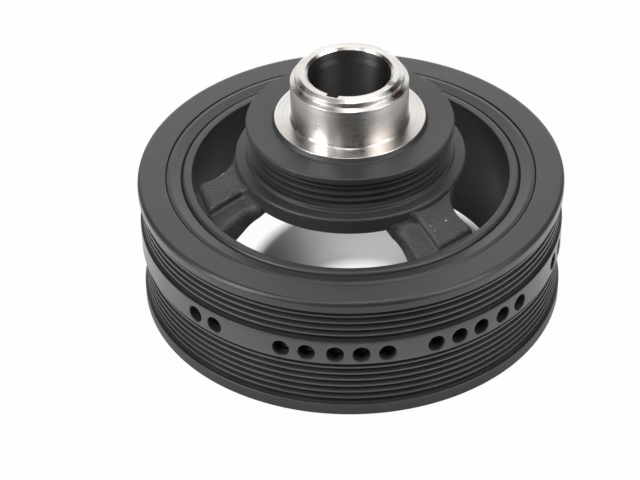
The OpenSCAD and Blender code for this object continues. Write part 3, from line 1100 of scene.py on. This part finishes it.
def ramp(tree, value, rows, place):
    """Brightness that runs in straight lines between (length, brightness) rows."""
    node = add(tree, "ShaderNodeFloatCurve", place)
    scaled = math_node(tree, "MULTIPLY", (place[0] - 200, place[1]), value, 1 / GLOW_REACH)
    tree.links.new(scaled, node.inputs["Value"])
    curve = node.mapping.curves[0]
    rows = ((0.0, rows[0][1]), *rows, (GLOW_REACH, rows[-1][1]))
    points = [(x / GLOW_REACH, y / GLOW_MOST) for x, y in rows]
    while len(curve.points) < len(points):
        curve.points.new(0.5, 0.5)
    for point, (x, y) in zip(curve.points, points):
        point.location = (x, y)
        point.handle_type = "VECTOR"
    node.mapping.update()
    last = (place[0] + 200, place[1])
    return math_node(tree, "MULTIPLY", last, node.outputs[0], GLOW_MOST)


def soft_circle(tree, where, circle, within, beyond, place):
    """A value inside a circle on the floor and another beyond it, with a soft edge between."""
    x, y, inner, outer = circle
    away = add(tree, "ShaderNodeVectorMath", place, operation="DISTANCE")
    tree.links.new(where, away.inputs[0])
    away.inputs[1].default_value = (x, y, 0.0)
    last = (place[0] + 200, place[1])
    return map_range(tree, away.outputs["Value"], inner, outer, within, beyond, last)


def floor_material(color):
    """A white floor that the camera sees evenly lit, and that is real and shaded under the hub,
    with two soft pools of painted light there.

    It is see-through from below, so that the part's underside can be looked at.
    """
    material, tree, shader, where = start_material("Floor")
    split = add(tree, "ShaderNodeSeparateXYZ", (-900, 0))
    tree.links.new(where, split.inputs[0])
    flat = add(tree, "ShaderNodeCombineXYZ", (-700, 0))
    tree.links.new(split.outputs["X"], flat.inputs["X"])
    tree.links.new(split.outputs["Y"], flat.inputs["Y"])
    radius = add(tree, "ShaderNodeVectorMath", (-500, 0), operation="LENGTH")
    tree.links.new(flat.outputs[0], radius.inputs[0])
    outside = soft_circle(tree, flat.outputs[0], HUB_SHADOW, 0.0, 1.0, (-300, 0))
    # Painted pools of light on the floor, where light falls through the bore and the near window
    for circle, level, y in ((PAINTED_BORE_LIGHT, 0.9, 300), (PAINTED_WINDOW_LIGHT, 0.27, 600)):
        light = soft_circle(tree, flat.outputs[0], circle, level, 0.0, (-300, y))
        outside = math_node(tree, "MAXIMUM", (100, y), outside, light)
    sideways = math_node(tree, "ABSOLUTE", (-700, -600), split.outputs["X"])
    aside = math_node(tree, "DIVIDE", (-500, -600), sideways, radius.outputs["Value"])
    share = map_range(tree, aside, 0.3, 0.9, 0.0, 1.0, (-300, -600))
    # The floor's painted light, low next to the part as a painted contact shadow
    front = ramp(tree, radius.outputs["Value"], FRONT_GLOW, (-300, -900))
    sides = ramp(tree, radius.outputs["Value"], SIDE_GLOW, (-300, -1200))
    lit = color_mix(tree, share, front, sides, (0, -700))
    ray = add(tree, "ShaderNodeLightPath", (-300, -300))
    white = color_mix(tree, ray.outputs["Is Camera Ray"], lit, (WHITE,) * 3, (200, -300))
    glow = color_mix(tree, outside, (0, 0, 0), white, (0, 0))
    base = color_mix(tree, outside, color, (0.01, 0.01, 0.01), (0, 250))
    tree.links.new(base, shader.inputs["Base Color"])
    tree.links.new(glow, shader.inputs["Emission Color"])
    shader.inputs["Emission Strength"].default_value = 1.0
    shader.inputs["Roughness"].default_value = 1.0
    shader.inputs["Specular IOR Level"].default_value = 0.0
    side = add(tree, "ShaderNodeNewGeometry", (-300, 600))
    shown = math_node(tree, "SUBTRACT", (0, 600), 1.0, side.outputs["Backfacing"])
    tree.links.new(shown, shader.inputs["Alpha"])
    return material


def studio_world():
    """Walls that the camera sees white, and that light the part only faintly.

    They give no light from the camera's own side.
    """
    world = bpy.data.worlds.new("Studio")
    world.use_nodes = True
    tree = world.node_tree
    tree.nodes.clear()
    where = add(tree, "ShaderNodeTexCoord", (-1400, 0))
    aim = add(tree, "ShaderNodeVectorMath", (-1100, 0), operation="DOT_PRODUCT")
    aim.inputs[1].default_value = (0.0, -math.cos(math.radians(20)), math.sin(math.radians(20)))
    tree.links.new(where.outputs["Generated"], aim.inputs[0])
    wall = map_range(tree, aim.outputs["Value"], 0.3, 0.8, 0.02, 0.0, (-800, 0))
    ray = add(tree, "ShaderNodeLightPath", (-800, 300))
    seen = add(tree, "ShaderNodeMix", (-500, 100), data_type="FLOAT")
    tree.links.new(ray.outputs["Is Camera Ray"], seen.inputs[0])
    tree.links.new(wall, seen.inputs[2])
    seen.inputs[3].default_value = WHITE
    back = add(tree, "ShaderNodeBackground", (-200, 0))
    back.inputs["Color"].default_value = (1, 1, 1, 1)
    tree.links.new(seen.outputs[0], back.inputs["Strength"])
    out = add(tree, "ShaderNodeOutputWorld", (100, 0))
    tree.links.new(back.outputs[0], out.inputs["Surface"])
    return world


# Soft light panels: name, way and rise in degrees, width and height in m, brightness
PANELS = (
    ("left_low", 210, 10, 0.72, 0.49, 7.3),
    ("left_middle", 210, 30, 0.63, 0.49, 2.6),
    ("left_upper", 210, 50, 0.47, 0.49, 4.2),
    ("left_lamp", 208, 42, 0.25, 0.25, 20.0),
    ("left_high", 180, 50, 0.47, 0.49, 1.5),
    ("front_left_lamp", 240, 57, 0.2, 0.2, 7.0),
    ("front_left", 240, 30, 0.63, 0.49, 1.2),
    ("right_high", 0, 50, 0.47, 0.49, 3.4),
    ("front_right_high", 330, 50, 0.47, 0.49, 7.6),
    ("front_right_middle", 330, 30, 0.63, 0.49, 1.7),
    ("front_right_low", 330, 10, 0.72, 0.49, 3.2),
    ("front_right_lamp", 310, 42, 0.25, 0.25, 3.0),
    ("back_wall", 90, 20, 2.1, 0.98, 1.35),
    ("back_low", 90, 10, 0.72, 0.49, 1.4),
    ("back_high", 90, 50, 0.47, 0.49, 1.6),
    ("back_left_high", 120, 52, 0.47, 0.49, 0.6),
    ("top_back", 60, 74, 0.4, 0.68, 3.8),
    ("top_front", 240, 74, 0.4, 0.68, 1.7),
    ("overhead", 280, 82, 0.25, 0.25, 7.0),
)
PANEL_DISTANCE = 1.4
PANEL_AIM = 0.06
FLOOR_HALF = 4.0
FLOOR_CORNERS = ((-1, -1), (1, -1), (1, 1), (-1, 1))

# The camera, fitted to the photo's edges: focal length in mm, place, and turn in radians
FOCAL_LENGTH = 128.341
CAMERA_PLACE = (0.0, -0.866038, 0.693835)
CAMERA_TURN = (
    math.atan2(0.79033011, 0.61241825),
    math.asin(0.017950044),
    math.atan2(0.0034752, 0.99983285),
)


class BALANCER_OT_stage(bpy.types.Operator):
    """Sets the pale floor, the soft lights and the camera"""

    bl_idname = "balancer.stage"
    bl_label = "Stage"

    def execute(self, context):
        scene = context.scene
        mesh = bpy.data.meshes.new("floor")
        corners = [(x * FLOOR_HALF, y * FLOOR_HALF, 0) for x, y in FLOOR_CORNERS]
        mesh.from_pydata(corners, [], [(0, 1, 2, 3)])
        mesh.materials.append(floor_material(scene.balancer_finish.floor))
        floor = bpy.data.objects.new("floor", mesh)
        scene.collection.objects.link(floor)
        scene.world = studio_world()
        for name, way, rise, width, height, glow in PANELS:
            light = bpy.data.lights.new(name, "AREA")
            light.shape = "RECTANGLE"
            light.size, light.size_y = width, height
            light.energy = glow * math.pi * width * height
            lamp = bpy.data.objects.new(name, light)
            scene.collection.objects.link(lamp)
            way, rise = math.radians(way), math.radians(rise)
            lamp.location = (
                PANEL_DISTANCE * math.cos(rise) * math.cos(way),
                PANEL_DISTANCE * math.cos(rise) * math.sin(way),
                PANEL_DISTANCE * math.sin(rise) + PANEL_AIM,
            )
            lamp.rotation_euler = (math.pi / 2 - rise, 0, way + math.pi / 2)
        lens = bpy.data.cameras.new("camera")
        lens.sensor_width = 36.0
        lens.sensor_fit = "HORIZONTAL"
        lens.lens = FOCAL_LENGTH
        lens.clip_start = 0.05
        lens.clip_end = 20
        camera = bpy.data.objects.new("camera", lens)
        scene.collection.objects.link(camera)
        camera.location = CAMERA_PLACE
        camera.rotation_euler = CAMERA_TURN
        scene.camera = camera
        scene.view_settings.view_transform = "Standard"
        return {"FINISHED"}


class BALANCER_PT_panel(bpy.types.Panel):
    """Lists the balancer's pieces, sizes and finishes"""

    bl_label = "Harmonic Balancer"
    bl_idname = "BALANCER_PT_panel"
    bl_space_type = "VIEW_3D"
    bl_region_type = "UI"
    bl_category = "Balancer"

    def draw(self, context):
        layout = self.layout
        for group in (context.scene.balancer_sizes, context.scene.balancer_finish):
            for key in group.__annotations__:
                layout.prop(group, key)
        for operator in OPERATORS:
            layout.operator(operator.bl_idname)


OPERATORS = (BALANCER_OT_ring, BALANCER_OT_rubber, BALANCER_OT_hub, BALANCER_OT_stage)
CLASSES = (BalancerSizes, BalancerFinish, *OPERATORS, BALANCER_PT_panel)


def register():
    for item in CLASSES:
        bpy.utils.register_class(item)
    bpy.types.Scene.balancer_sizes = bpy.props.PointerProperty(type=BalancerSizes)
    bpy.types.Scene.balancer_finish = bpy.props.PointerProperty(type=BalancerFinish)


def unregister():
    del bpy.types.Scene.balancer_finish
    del bpy.types.Scene.balancer_sizes
    for item in reversed(CLASSES):
        bpy.utils.unregister_class(item)


def main():
    """Makes every piece and the stage."""
    register()
    bpy.ops.balancer.ring()
    bpy.ops.balancer.rubber()
    bpy.ops.balancer.hub()
    bpy.ops.balancer.stage()


if __name__ == "__main__":
    main()
